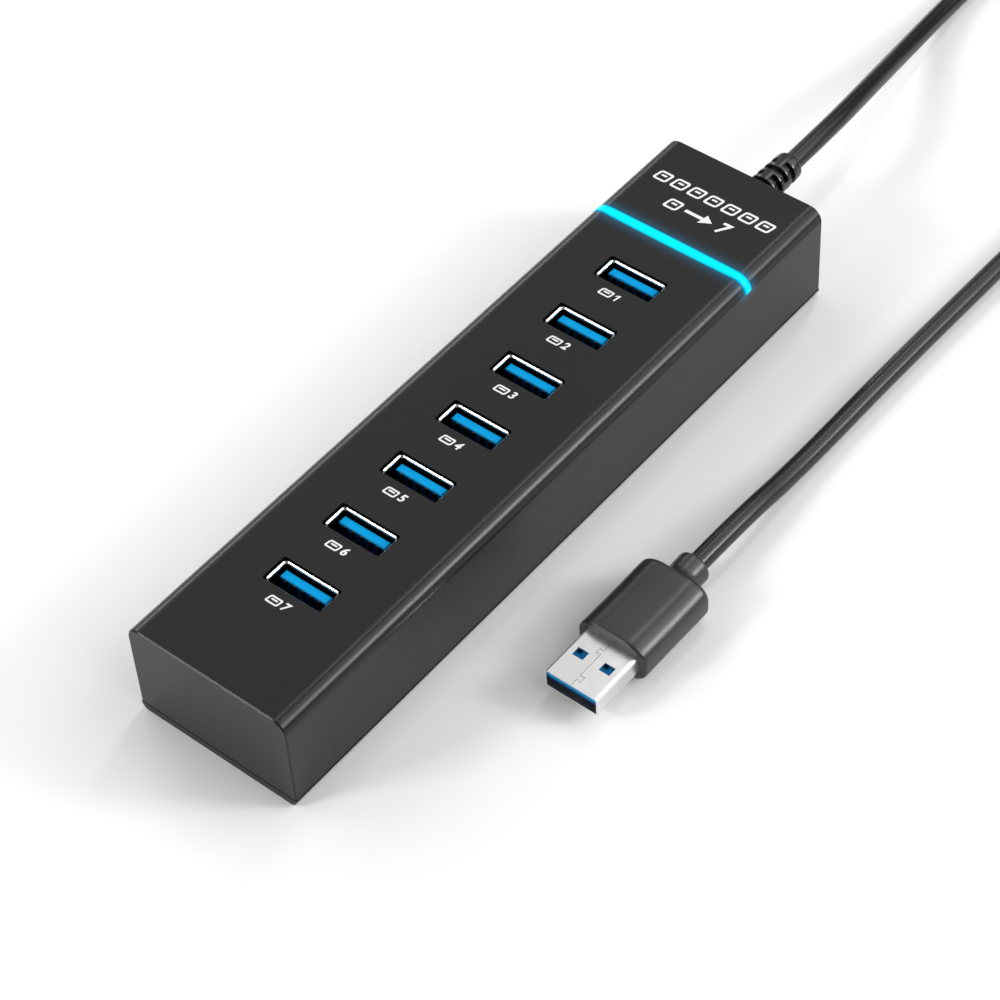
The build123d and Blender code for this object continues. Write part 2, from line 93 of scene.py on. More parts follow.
# Feeds a node's inputs, given by name or number, with other nodes' sockets, numbers or colours
def feed(tree, node, feeds):
    for name, value in feeds.items():
        if isinstance(value, bpy.types.NodeSocket):
            tree.links.new(value, node.inputs[name])
        elif node.inputs[name].type == "RGBA":
            node.inputs[name].default_value = (*value, 1)
        else:
            node.inputs[name].default_value = value


def addNode(tree, kind, feeds=None, **settings):
    node = tree.nodes.new("ShaderNode" + kind)
    for name, value in settings.items():
        setattr(node, name, value)
    feed(tree, node, feeds or {})
    return node


def startMaterial(name):
    material = bpy.data.materials.new(name)
    material.use_nodes = True
    tree = material.node_tree
    tree.nodes.clear()
    shader = addNode(tree, "BsdfPrincipled")
    addNode(tree, "OutputMaterial", {"Surface": shader.outputs[0]})
    place = addNode(tree, "TexCoord").outputs["Object"]
    return material, tree, shader, place


def noise(tree, place, scale, detail=3.0, stretch=None):
    if stretch:
        place = addNode(tree, "Mapping", {"Vector": place, "Scale": stretch}).outputs[0]
    made = addNode(tree, "TexNoise", {"Vector": place, "Scale": scale, "Detail": detail})
    return made.outputs[0]


def spread(tree, value, low, high, start=0.3, end=0.7):
    feeds = {"Value": value, "From Min": start, "From Max": end, "To Min": low, "To Max": high}
    return addNode(tree, "MapRange", feeds).outputs[0]


def blendColour(tree, factor, first, second):
    # A Mix node's colour sockets are inputs 6 and 7, and output 2
    return addNode(tree, "Mix", {0: factor, 6: first, 7: second}, data_type="RGBA").outputs[2]


def calculate(tree, operation, first, second=0.0):
    return addNode(tree, "Math", {0: first, 1: second}, operation=operation).outputs[0]


# Plain moulded or plated finish: two near colours mixed by soft cloudy noise, roughness that
# drifts between two values, and a fine grain in the surface
def grainyFinish(name, dark, light, rough=(0.35, 0.5), cloud=120, grain=5000, depth=0.01,
                 specular=0.5):
    material, tree, shader, place = startMaterial(name)
    clouds = noise(tree, place, cloud)
    fine = noise(tree, place, grain, 2.0)
    bump = addNode(tree, "Bump", {"Height": fine, "Distance": depth * mm})
    feed(tree, shader, {
        "Base Color": blendColour(tree, clouds, dark, light),
        "Roughness": spread(tree, noise(tree, place, cloud * 7), *rough),
        "Normal": bump.outputs[0],
        "Specular IOR Level": specular,
    })
    return material


# Casing plastic: fine spark-eroded grain, and a painted glow of the light bar's blue: the casing
# itself emits light, fading with the distance from the bar
casingLook = {
    "dark": (0.0052, 0.0052, 0.0054), "light": (0.0068, 0.0068, 0.0070),
    "rough": (0.27, 0.32), "roughScale": 2600, "cloud": 60, "specular": 0.36,
    "grain": 5200, "pitScale": 2340, "pitShare": 0.3, "depth": 0.0016,    # depth in mm
    "paintedGlowColour": (0.0, 0.105, 0.20), "paintedGlowReach": 4.0, "paintedGlowStrength": 0.75, "paintedGlowFall": 3.2,
}
# How far the bar's ends reach down the casing's sides
barWrap = 2.8
barPlace = {"y": barMiddle[1], "halfWidth": (barHigh[1] - barLow[1]) / 2,
            "lowEnd": casingHigh[2] - barWrap}


# Distance across the casing from the bar's middle line
def fromBar(tree, parts):
    offset = calculate(tree, "SUBTRACT", parts.outputs[1], barPlace["y"] * mm)
    return calculate(tree, "ABSOLUTE", offset)


def casingFinish(values):
    material, tree, shader, place = startMaterial("casingPlastic")
    clouds = noise(tree, place, values["cloud"])
    fine = noise(tree, place, values["grain"], 2.0)
    pits = addNode(tree, "TexVoronoi", {"Vector": place, "Scale": values["pitScale"]}).outputs[0]
    pits = calculate(tree, "MULTIPLY", pits, values["pitShare"])
    height = calculate(tree, "ADD", fine, pits)
    bump = addNode(tree, "Bump", {"Height": height, "Distance": values["depth"] * mm})
    # Distance to the bar, past its half width across Y and below its ends in Z
    parts = addNode(tree, "SeparateXYZ", {"Vector": place})
    across = fromBar(tree, parts)
    across = calculate(tree, "SUBTRACT", across, barPlace["halfWidth"] * mm)
    across = calculate(tree, "MAXIMUM", across)
    below = calculate(tree, "SUBTRACT", barPlace["lowEnd"] * mm, parts.outputs[2])
    below = calculate(tree, "MAXIMUM", below)
    squares = [calculate(tree, "MULTIPLY", side, side) for side in (across, below)]
    distance = calculate(tree, "SQRT", calculate(tree, "ADD", *squares))
    # Painted glow: emission strength falls from full at the bar to nothing at the reach
    paintedGlow = spread(tree, distance, 1.0, 0.0, 0.0, values["paintedGlowReach"] * mm)
    paintedGlow = calculate(tree, "POWER", paintedGlow, values["paintedGlowFall"])
    paintedGlow = calculate(tree, "MULTIPLY", paintedGlow, values["paintedGlowStrength"])
    feed(tree, shader, {
        "Base Color": blendColour(tree, clouds, values["dark"], values["light"]),
        "Roughness": spread(tree, noise(tree, place, values["roughScale"]), *values["rough"]),
        "Normal": bump.outputs[0],
        "Specular IOR Level": values["specular"],
        "Emission Color": values["paintedGlowColour"],
        "Emission Strength": paintedGlow,
    })
    return material


# Lit bar: cyan core, deeper blue at its two edges, a faint waviness from the light guide
barLook = {
    "core": (0.0, 0.87, 1.0), "edge": (0.0, 0.20, 0.42), "strength": 1.05, "waves": 260,
    "coreHalf": 0.7, "edgeHalf": 1.35, "edgeFall": 1.6, "thinning": 0.27,     # widths in mm
    "unlitCore": (0.0, 0.06, 0.07), "unlitEdge": (0.0, 0.02, 0.04),
}


def barFinish(values):
    material, tree, shader, place = startMaterial("litBar")
    parts = addNode(tree, "SeparateXYZ", {"Vector": place})
    # The core thins towards the two ends, with the square of the distance from the middle
    side = calculate(tree, "DIVIDE", parts.outputs[0], casingHigh[0] * mm)
    side = calculate(tree, "POWER", side, 2.0)
    side = calculate(tree, "MULTIPLY", side, values["thinning"] * mm)
    across = calculate(tree, "ADD", fromBar(tree, parts), side)
    toEdge = spread(tree, across, 0.0, 1.0, values["coreHalf"] * mm, values["edgeHalf"] * mm)
    toEdge = calculate(tree, "POWER", toEdge, values["edgeFall"])
    waves = spread(tree, noise(tree, place, values["waves"]), 0.93, 1.0)
    glow = blendColour(tree, toEdge, values["core"], values["edge"])
    feed(tree, shader, {
        "Base Color": blendColour(tree, toEdge, values["unlitCore"], values["unlitEdge"]),
        "Emission Color": glow,
        "Emission Strength": calculate(tree, "MULTIPLY", waves, values["strength"]),
        "Roughness": 0.28,
        "Specular IOR Level": 0.05,
    })
    return material


# Plated steel: fine drawing lines along one way, faint clouding and, where a height is given,
# painted shade below it: darker metal down in a socket
platedLook = {
    "lines": 9000, "depth": 0.0004, "cloud": 240, "roughScale": 1500,
    "socketShadeColour": (0.035, 0.036, 0.04), "shadeFade": 0.3,
}


def platedFinish(name, dark, light, rough, stretch, shadeBelow=None):
    material, tree, shader, place = startMaterial(name)
    drawn = noise(tree, place, platedLook["lines"], 2.0, stretch)
    bump = addNode(tree, "Bump", {"Height": drawn, "Distance": platedLook["depth"] * mm})
    colour = blendColour(tree, noise(tree, place, platedLook["cloud"]), dark, light)
    if shadeBelow:
        # Painted shade: the colour turns to dark metal below the given height
        height = addNode(tree, "SeparateXYZ", {"Vector": place}).outputs[2]
        start = shadeBelow - platedLook["shadeFade"]
        paintedShade = spread(tree, height, 1.0, 0.0, start * mm, shadeBelow * mm)
        colour = blendColour(tree, paintedShade, colour, platedLook["socketShadeColour"])
    feed(tree, shader, {
        "Base Color": colour,
        "Metallic": 1.0,
        "Roughness": spread(tree, noise(tree, place, platedLook["roughScale"], 3.0, stretch),
                            *rough),
        "Normal": bump.outputs[0],
    })
    return material


# Solder mask with copper runs showing through it as raised, slightly lighter lines
boardLook = {
    "mask": (0.004, 0.05, 0.018), "run": (0.01, 0.13, 0.04), "runScale": 420,
    "runHeight": 0.02, "rough": (0.25, 0.4), "roughScale": 700,
}


def boardFinish(values):
    material, tree, shader, place = startMaterial("boardMask")
    runs = addNode(tree, "TexWave", {"Vector": place, "Scale": values["runScale"],
                                     "Distortion": 3.5, "Detail": 1, "Detail Scale": 0.6},
                   bands_direction="X").outputs[1]
    lines = spread(tree, runs, 0.0, 1.0, 0.62, 0.7)
    bump = addNode(tree, "Bump", {"Height": lines, "Distance": values["runHeight"] * mm})
    feed(tree, shader, {
        "Base Color": blendColour(tree, lines, values["mask"], values["run"]),
        "Roughness": spread(tree, noise(tree, place, values["roughScale"]), *values["rough"]),
        "Normal": bump.outputs[0],
    })
    return material


# Electrolytic can: printed sleeve up to its rim, bare aluminium above
canLook = {
    "dark": (0.01, 0.012, 0.03), "light": (0.02, 0.022, 0.05), "bare": (0.75, 0.75, 0.74),
    "rim": 0.4, "rimFade": 0.1, "cloud": 300, "rough": (0.25, 0.38), "roughScale": 1800,
}


def canFinish(values):
    material, tree, shader, place = startMaterial("capacitorSleeve")
    height = addNode(tree, "SeparateXYZ", {"Vector": place}).outputs[2]
    rim = cornersOf("bulk_capacitors")[1][2] - values["rim"]
    bare = spread(tree, height, 0.0, 1.0, rim * mm, (rim + values["rimFade"]) * mm)
    clouds = noise(tree, place, values["cloud"])
    sleeve = blendColour(tree, clouds, values["dark"], values["light"])
    feed(tree, shader, {
        "Base Color": blendColour(tree, bare, sleeve, values["bare"]),
        "Metallic": bare,
        "Roughness": spread(tree, noise(tree, place, values["roughScale"]), *values["rough"]),
    })
    return material


# Blue insulator with painted shade: navy below its lit top edge, and in a plug also behind its
# mouth
insulatorLook = {
    "dark": (0.0, 0.28, 0.62), "light": (0.0, 0.33, 0.70), "paintedShade": (0.0, 0.022, 0.10),
    "cloud": 900, "streaks": 1400, "grain": 3000, "depth": 0.001,
    "paintedShadeFade": 0.45, "mouthStart": 0.5, "mouthEnd": 1.5, "mouthShade": 0.8,
    "rough": (0.42, 0.5), "roughScale": 1500, "specular": 0.06,
}


def insulatorFinish(name, values, tip, mouthY=None):
    material, tree, shader, place = startMaterial(name)
    clouds = noise(tree, place, values["cloud"])
    colour = blendColour(tree, clouds, values["dark"], values["light"])
    parts = addNode(tree, "SeparateXYZ", {"Vector": place})
    streaks = noise(tree, place, values["streaks"], 2.0, (1, 1, 0.15))
    # Painted shade: navy below the tip height, broken by streaks on a tongue, and in a plug also
    # behind its mouth
    paintedShade = spread(tree, parts.outputs[2], 1.0, 0.0, (tip - values["paintedShadeFade"]) * mm, tip * mm)
    if mouthY:
        inside = spread(tree, parts.outputs[1], 0.0, values["mouthShade"],
                        (mouthY + values["mouthStart"]) * mm, (mouthY + values["mouthEnd"]) * mm)
        paintedShade = calculate(tree, "MAXIMUM", paintedShade, inside)
    else:
        paintedShade = calculate(tree, "MULTIPLY", paintedShade, spread(tree, streaks, 0.8, 1.0, 0.35, 0.6))
    colour = blendColour(tree, paintedShade, colour, values["paintedShade"])
    bump = addNode(tree, "Bump", {"Height": noise(tree, place, values["grain"]),
                                  "Distance": values["depth"] * mm})
    feed(tree, shader, {
        "Base Color": colour,
        "Roughness": spread(tree, noise(tree, place, values["roughScale"]), *values["rough"]),
        "Specular IOR Level": values["specular"],
        "Normal": bump.outputs[0],
    })
    return material


black, grey = (0.006, 0.006, 0.006), (0.014, 0.014, 0.014)
finishes = {
    "casing": casingFinish(casingLook),
    "litBar": barFinish(barLook),
    "board": boardFinish(boardLook),
    "can": canFinish(canLook),
    "chip": grainyFinish("chipResin", black, grey, (0.45, 0.6), 400, 9000, 0.006),
    "crystal": platedFinish("crystalCan", (0.6, 0.6, 0.58), (0.72, 0.72, 0.7), (0.2, 0.35), None),
    "fuse": grainyFinish("fuseBody", (0.02, 0.08, 0.03), (0.03, 0.11, 0.05), (0.4, 0.6), 500),
    "ceramic": grainyFinish("ceramicChip", (0.22, 0.15, 0.09), (0.34, 0.25, 0.16), (0.4, 0.6), 900),
    "led": grainyFinish("diodeLens", (0.55, 0.62, 0.70), (0.7, 0.78, 0.85), (0.1, 0.25), 900),
    "screw": platedFinish("screwZinc", (0.35, 0.36, 0.38), (0.5, 0.51, 0.52), (0.25, 0.42), None),
    "relief": grainyFinish("reliefRubber", (0.007, 0.007, 0.007), (0.012, 0.012, 0.012),
                           (0.20, 0.28), 200, 3600, 0.001, specular=0.6),
    "jacket": grainyFinish("cableJacket", (0.007, 0.007, 0.0072), (0.009, 0.009, 0.0092),
                           (0.27, 0.29), 150, 2600, 0.0003, specular=0.42),
    "wire": grainyFinish("wireSleeve", (0.25, 0.02, 0.02), (0.32, 0.05, 0.03), (0.35, 0.5), 300),
    "grip": grainyFinish("gripPlastic", (0.014, 0.014, 0.0142), (0.018, 0.018, 0.0182),
                         (0.32, 0.35), 90, 4200, 0.0006, specular=0.62),
    "socketSteel": platedFinish("socketSteel", (0.74, 0.73, 0.71), (0.86, 0.85, 0.83),
                                (0.2, 0.3), (1, 1, 0.05), shellHigh[2] - 0.33),
    "plugSteel": platedFinish("plugSteel", (0.78, 0.775, 0.77), (0.84, 0.835, 0.83),
                              (0.28, 0.36), (1, 0.05, 1)),
    "tongue": insulatorFinish("tonguePlastic", insulatorLook, tongueHigh[2] - 0.1),
    "insulator": insulatorFinish("blueInsulator", {**insulatorLook, "paintedShadeFade": 0.5},
                                 insulatorHigh[2] - 1.05, mouthY=insulatorLow[1]),
    "contact": platedFinish("goldContact", (0.75, 0.5, 0.2), (0.86, 0.62, 0.28), (0.18, 0.3),
                            (1, 1, 0.1)),
    # Contacts in the sockets: dark metal, far darker than the plug's gold contacts
    "portContact": platedFinish("darkSocketContact", (0.12, 0.08, 0.03), (0.18, 0.12, 0.05),
                                (0.3, 0.4), (1, 1, 0.1)),
    "ink": grainyFinish("whiteInk", (0.72, 0.72, 0.72), (0.85, 0.85, 0.85), (0.5, 0.65), 800,
                        7000, 0.003, specular=0.3),
}
print("materials: made", len(finishes))

nodeFinish = {
    "upper_shell": "casing", "base_cover": "casing", "light_bar": "litBar",
    "circuit_board": "board", "hub_chip_a": "chip", "hub_chip_b": "chip", "crystals": "crystal",
    "power_inductor": "chip", "voltage_regulator": "chip", "bulk_capacitors": "can",
    "port_fuses": "fuse", "chip_capacitors": "ceramic", "chip_resistors": "chip",
    "bar_leds": "led", "base_screws": "screw", "board_screws": "screw",
    "cable_grommet": "relief", "cable_tail": "jacket", "cable_wires": "wire", "cord": "jacket",
    "plug_shell": "plugSteel", "plug_insulator": "insulator", "plug_contacts": "contact",
    "plug_overmold": "grip",
}
for number in range(1, 8):
    nodeFinish["port_%d_shell" % number] = "socketSteel"
    nodeFinish["port_%d_tongue" % number] = "tongue"
    nodeFinish["port_%d_contacts" % number] = "portContact"


def giveFinish(piece, key):
    piece.data.materials.clear()
    piece.data.materials.append(finishes[key])


for nodeName, key in nodeFinish.items():
    giveFinish(nodes[nodeName], key)
print("nodes: finished")

# Cord: its route's points, the same as the cable's in the part
cordLook = {"diameter": 0.0042, "length": 0.342}
cordRoute = (
    (0, 0.09675, 0.014), (0, 0.1120, 0.014), (-0.0029, 0.1305, 0.0104),
    (-0.0066, 0.1500, 0.0054), (-0.0092, 0.1700, 0.0023), (-0.0094, 0.18625, 0.00215),
    (0.0008, 0.20065, 0.00215), (0.0176, 0.20625, 0.00215), (0.0350, 0.20045, 0.00215),
    (0.0455, 0.18565, 0.00215), (0.0459, 0.1560, 0.00215), (0.0451, 0.1120, 0.00215),
    (0.0441, 0.0700, 0.00215), (0.0442, 0.0370, 0.00215), (0.0444, 0.0180, 0.00475),
    (0.0444, 0.0039, 0.00475),
)


def makeCord(values):
    data = bpy.data.curves.new("cordJacket", "CURVE")
    data.dimensions = "3D"
    spline = data.splines.new("NURBS")
    spline.points.add(len(cordRoute) - 1)
    spline.points.foreach_set("co", np.array([(*p, 1) for p in cordRoute]).ravel())
    spline.order_u, spline.use_endpoint_u = 3, True
    data.resolution_u, data.bevel_resolution = 20, 8
    data.bevel_depth = values["diameter"] / 2
    data.use_fill_caps = True
    piece = bpy.data.objects.new("cordJacket", data)
    bpy.context.scene.collection.objects.link(piece)
    data.materials.append(finishes["jacket"])
    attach(piece, "root")
    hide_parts("cord")
    return piece


cordPiece = makeCord(cordLook)
print("cord: laid")


# Puts points and faces in a mesh; quads is an (n, 4) array, and fans are (n, 3). A closed skin
# whose signed volume is negative is turned the right way out.
def putMesh(name, points, quads, fans=None, finish="casing", slot="casing", sharp=40):
    points = np.asarray(points, float).reshape(-1, 3)
    fans = np.zeros((0, 3), int) if fans is None else np.asarray(fans, int)
    quads = np.asarray(quads, int)
    triangles = np.vstack([quads[:, :3], quads[:, [0, 2, 3]], fans])
    a, b, c = (points[triangles[:, k]] for k in range(3))
    if np.einsum("ij,ij->", a, np.cross(b, c)) < 0:
        quads, fans = quads[:, ::-1], fans[:, ::-1]
    data = bpy.data.meshes.new(name)
    data.vertices.add(len(points))
    data.vertices.foreach_set("co", (points * mm).ravel())
    loops = np.concatenate([quads.ravel(), fans.ravel()])
    starts = np.concatenate([np.arange(len(quads)) * 4, len(quads) * 4 + np.arange(len(fans)) * 3])
    data.loops.add(len(loops))
    data.loops.foreach_set("vertex_index", loops)
    data.polygons.add(len(starts))
    data.polygons.foreach_set("loop_start", starts)
    data.update(calc_edges=True)
    data.validate()
    data.polygons.foreach_set("use_smooth", np.ones(len(starts), bool))
    data.set_sharp_from_angle(angle=math.radians(sharp))
    piece = bpy.data.objects.new(name, data)
    bpy.context.scene.collection.objects.link(piece)
    data.materials.append(finishes[finish])
    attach(piece, "root")
    return piece


# Faces of a grid of rings: ring i, point j joins ring i+1, point j+1, the last point to the first.
# Ends are closed by a fan to their middle point, or the last ring joins the first.
def ringFaces(rings, around, looped=False, base=0):
    i, j = np.meshgrid(np.arange(rings if looped else rings - 1), np.arange(around), indexing="ij")
    here, there = base + i * around, base + ((i + 1) % rings) * around
    nextJ = (j + 1) % around
    return np.stack([here + j, here + nextJ, there + nextJ, there + j], -1).reshape(-1, 4)


def closedTube(rings):
    rings = np.asarray(rings, float)
    count, around = rings.shape[:2]
    points = np.vstack([rings.reshape(-1, 3), rings[0].mean(0)[None], rings[-1].mean(0)[None]])
    j = np.arange(around)
    k = (j + 1) % around
    first, last = count * around, count * around + 1
    start = np.stack([np.full(around, first), k, j], -1)
    end = (count - 1) * around + np.stack([j, k], -1)
    end = np.column_stack([end, np.full(around, last)])
    return points, ringFaces(count, around), np.vstack([start, end])


# Rounded rectangle about the middle: four quarter ellipses joined by flats, each as wide as the
# radius and as high as radiusY, which is the same unless given
def roundedLoop(halfX, halfY, radius, steps=8, radiusY=None):
    radiusY = radiusY or radius
    angle = np.linspace(0, math.pi / 2, steps + 1)
    quarters = angle[None] + np.arange(4)[:, None] * math.pi / 2
    signX, signY = np.array([1, -1, -1, 1])[:, None], np.array([1, 1, -1, -1])[:, None]
    x = signX * (halfX - radius) + radius * np.cos(quarters)
    y = signY * (halfY - radiusY) + radiusY * np.sin(quarters)
    return np.stack([x.ravel(), y.ravel()], -1)


# Light bar: a slim band carried along the casing's top profile, with a softly crowned face and
# rounded ends; the guide behind it is a rounded blade that runs down to the diodes
lightBarShape = {
    "width": 2.4, "thickness": 1.0, "crown": 0.12,
    "endRound": 0.9, "endShare": 0.55, "taperShare": 0.45,
    "halfX": casingHigh[0], "topZ": casingHigh[2], "edgeRadius": 3.0, "lowEnd": barPlace["lowEnd"],
    "guideHalf": 11.0, "guideThickness": 1.4, "guideCorner": 0.3, "guideFoot": barLow[2],
    "guideOverlap": 0.05, "footHeight": 0.2, "footDraw": 0.15,
}


def makeLightBar(v):
    # Path: up one side, round the edge, across the top and down; each place has its outward normal
    turn = np.linspace(0, math.pi / 2, 15)
    centreX, centreZ = v["halfX"] - v["edgeRadius"], v["topZ"] - v["edgeRadius"]
    rise = np.linspace(0, 1, 9)[:-1] * (centreZ - v["lowEnd"])
    right = np.vstack([
        np.column_stack([np.full(len(rise), v["halfX"]), v["lowEnd"] + rise]),
        np.column_stack([centreX + v["edgeRadius"] * np.cos(turn),
                         centreZ + v["edgeRadius"] * np.sin(turn)])])
    facing = np.vstack([np.tile([1.0, 0.0], (len(rise), 1)),
                        np.column_stack([np.cos(turn), np.sin(turn)])])
    inner = np.linspace(centreX, 0, 25)[1:]
    right = np.vstack([right, np.column_stack([inner, np.full(len(inner), v["topZ"])])])
    facing = np.vstack([facing, np.tile([0.0, 1.0], (len(inner), 1))])
    path = np.vstack([right, right[-2::-1] * [-1, 1]])
    facing = np.vstack([facing, facing[-2::-1] * [-1, 1]])
    along = np.concatenate([[0], np.cumsum(np.linalg.norm(np.diff(path, axis=0), axis=1))])
    fromEnd = np.minimum(along, along[-1] - along)
    # Half width: a quarter ellipse near each end, then constant
    taper = np.sqrt(np.clip(1 - (1 - np.clip(fromEnd / v["endRound"], 0, 1)) ** 2, 0, 1))
    half = v["width"] / 2 * (v["endShare"] + v["taperShare"] * taper)
    # Section: crowned face from edge to edge, then the flat back
    across = np.linspace(-1, 1, 13)
    edgeY = np.concatenate([across, [1.0, 0.0, -1.0]])
    height = np.concatenate([v["crown"] * (1 - across ** 2), [-v["thickness"]] * 3])
    y = barPlace["y"] + half[:, None] * edgeY[None]
    lift = height[None] * np.where(height[None] > 0, taper[:, None], 1)
    x = path[:, :1] + facing[:, :1] * lift
    z = path[:, 1:] + facing[:, 1:] * lift
    points, quads, fans = closedTube(np.stack([x, y, z], -1))
    # Guide: rounded blade, ring by ring from the band's back to its foot
    loop = roundedLoop(v["guideHalf"], v["guideThickness"] / 2, v["guideCorner"], 4)
    levels = ((v["topZ"] - v["thickness"] + v["guideOverlap"], 0.0),
              (v["guideFoot"] + v["footHeight"], 0.0), (v["guideFoot"], v["footDraw"]))
    rings = [np.column_stack([loop[:, 0] * (1 - draw / v["guideHalf"]),
                              barPlace["y"] + loop[:, 1] * (1 - draw / v["guideThickness"]),
                              np.full(len(loop), z)]) for z, draw in levels]
    more, moreQuads, moreFans = closedTube(rings)
    shift = len(points)
    piece = putMesh("lightBand", np.vstack([points, more]), np.vstack([quads, moreQuads + shift]),
                    np.vstack([fans, moreFans + shift]), "litBar", "lit_bar", 35)
    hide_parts("light_bar")


makeLightBar(lightBarShape)
print("light bar: made")

# Strain relief: radius as a function of the angle round the cable and of the place along it.
# Slots are cut to the core, except at two webs each, which turn by a quarter from slot to slot.
# A slot's side gives distances out from the slot, in edges, and how much of the depth is cut there.
reliefShape = {
    "wall": casingHigh[1], "end": reliefHigh[1], "z": reliefMiddle[2], "around": 144,
    "baseRadius": 3.75, "endRadius": 3.15, "coreRadius": 2.4, "endBead": 0.6, "endFace": 0.4,
    "flangeRadius": reliefHigh[0], "flangeStart": reliefLow[1], "flangeEnd": 78.75,
    "flangeBevel": 0.2,
    "slotStart": 2.5, "slotWidth": 1.3, "slotPitch": 2.4, "slots": 5, "edge": 0.14,
    "slotSide": ((2.2, 0.0), (1.0, 0.03), (0.25, 0.14), (0.0, 0.4)), "slotLip": 0.02,
    "web": 2.3, "webSide": 0.12,
}


def makeStrainRelief(v):
    y, radius, slotNumbers, depth = [], [], [], []

    def station(place, outside, slotNumber=-1, cut=0.0):
        y.append(place)
        radius.append(outside)
        slotNumbers.append(slotNumber)
        depth.append(cut)

    def taper(place):
        part = (place - v["wall"]) / (v["end"] - v["wall"])
        return v["baseRadius"] + (v["endRadius"] - v["baseRadius"]) * part

    for place, outside in ((v["flangeStart"], v["flangeRadius"] - v["flangeBevel"]),
                           (v["flangeStart"] + v["flangeBevel"], v["flangeRadius"]),
                           (v["flangeEnd"], v["flangeRadius"]), (v["flangeEnd"], v["baseRadius"]),
                           (v["wall"], v["baseRadius"])):
        station(place, outside)
    for k in range(v["slots"]):
        low = v["wall"] + v["slotStart"] + k * v["slotPitch"]
        high = low + v["slotWidth"]
        entry = [(low - out * v["edge"], cut) for out, cut in v["slotSide"]]
        floor = [(low + v["slotLip"], 1.0), (low + 0.5 * v["slotWidth"], 1.0),
                 (high - v["slotLip"], 1.0)]
        leaving = [(high + out * v["edge"], cut) for out, cut in reversed(v["slotSide"])]
        for place, cut in entry + floor + leaving:
            station(place, taper(place), k, cut)
    bead = v["endBead"]
    for angle in np.linspace(0, math.pi / 2, 7):
        station(v["end"] - bead + bead * math.sin(angle),
                taper(v["end"]) - bead * (1 - math.cos(angle)))
    station(v["end"], v["coreRadius"] - v["endFace"])
    y, radius, slotNumbers, depth = (np.array(a) for a in (y, radius, slotNumbers, depth))
    angle = np.linspace(0, 2 * math.pi, v["around"], endpoint=False)
    # Web mask: 1 on the two webs, falling smoothly to 0 at their sides
    turned = np.where(slotNumbers[:, None] % 2 == 1, angle[None], angle[None] + math.pi / 2)
    offset = np.abs(np.sin(turned)) * v["baseRadius"]
    webbed = np.clip((v["web"] / 2 + v["webSide"] - offset) / v["webSide"], 0, 1)
    cut = depth[:, None] * (1 - webbed)
    r = radius[:, None] - cut * (radius[:, None] - v["coreRadius"])
    rings = np.stack([r * np.cos(angle), np.broadcast_to(y[:, None], r.shape),
                      v["z"] + r * np.sin(angle)], -1)
    piece = putMesh("strainRelief", *closedTube(rings), "relief", "cable_rubber", 32)
    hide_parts("cable_grommet")


makeStrainRelief(reliefShape)
print("strain relief: made")

# Plug grip: a rounded section carried along Y, drawn in at its rounded front and back, then the
# round neck; each ring is the same loop of angles, so section turns to circle at the shoulder
gripShape = {
    "x": gripMiddle[0], "z": gripMiddle[2],
    "front": gripLow[1], "back": -1.7, "neckEnd": gripHigh[1],
    "halfWidth": 7.8, "halfHeight": 4.75, "cornerWide": 4.8, "cornerHigh": 3.8,
    "frontRound": 0.5, "frontFace": 1.8, "backRound": 1.3, "waist": 0.12, "hollow": 0.3,
    "neckRadius": 3.5, "neckRound": 0.7, "neckMiddle": 2.2, "neckDraw": 0.05, "endFace": 2.0,
}


def makeGrip(v):
    def placed(loop, y):
        return np.column_stack([v["x"] + loop[:, 0], np.full(len(loop), y), v["z"] + loop[:, 1]])

    def section(y, inset, squash=0.0):
        return placed(roundedLoop(v["halfWidth"] - inset, v["halfHeight"] - inset - squash,
                                  v["cornerWide"] - inset, 14, v["cornerHigh"] - inset), y)

    def circle(y, radius):
        return placed(roundedLoop(radius, radius, radius - 1e-4, 14), y)

    turns = np.linspace(0, math.pi / 2, 8)
    rings = [section(v["front"], v["frontFace"])]
    for a in turns:
        rings.append(section(v["front"] + v["frontRound"] * (1 - math.cos(a)),
                             v["frontRound"] * (1 - math.sin(a))))
    for part in np.linspace(0, 1, 13)[1:-1]:
        y = v["front"] + v["frontRound"] + part * (v["back"] - v["backRound"] - v["front"]
                                                   - v["frontRound"])
        rings.append(section(y, 0, v["waist"] * math.sin(math.pi * part) ** 2))
    for a in turns:
        rings.append(section(v["back"] - v["backRound"] * (1 - math.sin(a)),
                             v["backRound"] * (1 - math.cos(a))))
    # Shoulder: down to the neck's circle, with a small hollow at its root
    outer = section(v["back"], v["backRound"])
    inner = circle(v["back"], v["neckRadius"] + v["hollow"])
    for part in np.linspace(0, 1, 6)[1:]:
        rings.append(outer * (1 - part) + inner * part)
    for a in np.linspace(0, math.pi / 2, 5)[1:]:
        rings.append(circle(v["back"] + v["hollow"] * math.sin(a),
                            v["neckRadius"] + v["hollow"] * (1 - math.sin(a))))
    rings.append(circle(v["back"] + v["neckMiddle"], v["neckRadius"] - v["neckDraw"]))
    for a in turns:
        rings.append(circle(v["neckEnd"] - v["neckRound"] * (1 - math.sin(a)),
                            v["neckRadius"] - v["neckRound"] * (1 - math.cos(a))))
    rings.append(circle(v["neckEnd"], v["endFace"]))
    piece = putMesh("plugGrip", *closedTube(rings), "grip", "grip", 50)
    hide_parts("plug_overmold")
    return piece


gripPiece = makeGrip(gripShape)
print("plug grip: made")

